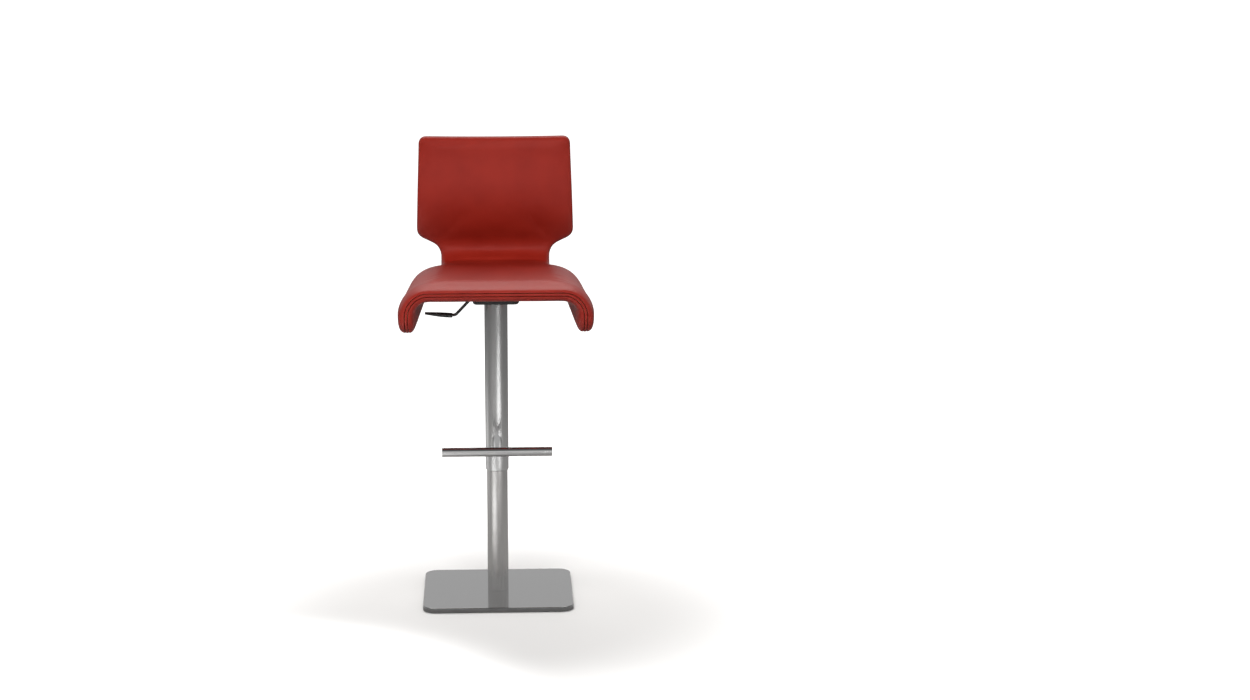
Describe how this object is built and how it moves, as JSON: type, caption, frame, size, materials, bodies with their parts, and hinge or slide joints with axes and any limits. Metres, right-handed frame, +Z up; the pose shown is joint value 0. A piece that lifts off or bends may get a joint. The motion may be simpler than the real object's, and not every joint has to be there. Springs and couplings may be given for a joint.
{
  "type": "adjustable swivel stool",
  "caption": "Height-adjustable swivel bar stool: square foot plate, telescopic steel column, T footrest, side lever and a padded shell of seat, drooping side wings and low back.",
  "frame": {"origin": "on the floor, at the centre of the square foot plate and on the column's axis", "axes": "+Z up along the column; the seat and footrest face -Y; the height lever is on the -X side, the sitter's right"},
  "size_m": [0.5172, 0.5003, 1.22],
  "materials": {
    "plate_steel": "satin grey metallic",
    "mat_rubber": "matte",
    "screw_steel": "zinc plated",
    "lower_steel": "satin, slightly warm",
    "upper_steel": "satin",
    "bar_steel": "bright satin",
    "bush_plastic": "matte",
    "bearing_steel": "ground",
    "bumper_rubber": "matte",
    "cylinder_paint": "black enamel",
    "mechanism_paint": "black powder coat",
    "grip_plastic": "matte",
    "plywood": "raw",
    "foam": "raw",
    "red_leather": "satin, fine grain"
  },
  "bodies": {
    "base": {"base_plate": "plate_steel", "floor_mat": "mat_rubber", "base_screws": "screw_steel", "column_foot": "screw_steel", "lower_tube": "lower_steel", "column_top_bush": "bush_plastic", "gas_cylinder_bush": "bush_plastic", "rod_seat_disc": "screw_steel", "thrust_washer_lower": "bearing_steel", "bearing_balls": "bearing_steel", "bearing_cage": "bush_plastic"},
    "swivel_rod": {"thrust_washer_upper": "bearing_steel", "piston_rod": "bearing_steel", "rod_clip": "screw_steel", "rubber_bumper": "bumper_rubber", "piston": "bush_plastic"},
    "carriage": {"gas_cylinder": "cylinder_paint", "rod_guide_seal": "bush_plastic", "taper_socket": "cylinder_paint", "upper_tube": "upper_steel", "tube_slide_ring": "bush_plastic", "tube_top_ring": "upper_steel", "footrest_bar": "bar_steel", "footrest_stem": "upper_steel", "footrest_end_plugs": "bar_steel", "seat_plate": "mechanism_paint", "mechanism_screws": "screw_steel", "t_nuts": "screw_steel", "mechanism_housing": "mechanism_paint", "lever_bracket": "mechanism_paint", "lever_pivot_pin": "bearing_steel", "seat_core": "plywood", "foam_top": "foam", "foam_under": "foam", "cover_top": "red_leather", "cover_band": "red_leather", "cover_under": "red_leather"},
    "height_lever": {"lever_rod": "mechanism_paint", "lever_grip": "grip_plastic"},
    "release_pin": {"release_pin": "bearing_steel"}
  },
  "joints": [
    {"name": "swivel", "type": "hinge", "parent": "base", "child": "swivel_rod", "pos_m": [0, 0, 0.06], "axis": [0, 0, 1], "continuous": true},
    {"name": "height_slide", "type": "slide", "parent": "swivel_rod", "child": "carriage", "axis": [0, 0, 1], "range_m": [-0.23, 0.02]},
    {"name": "lever_hinge", "type": "hinge", "parent": "carriage", "child": "height_lever", "pos_m": [-0.042, 0, 0.819], "axis": [0, 1, 0], "range_deg": [0, 6], "stiffness_Nm_per_rad": 5, "springref_deg": -20.05},
    {"name": "pin_slide", "type": "slide", "parent": "carriage", "child": "release_pin", "axis": [0, 0, -1], "range_m": [0, 0.006]}
  ],
  "couplings": [
    {"joint": "pin_slide", "follows": "lever_hinge", "m_per_rad": 0.046}
  ]
}
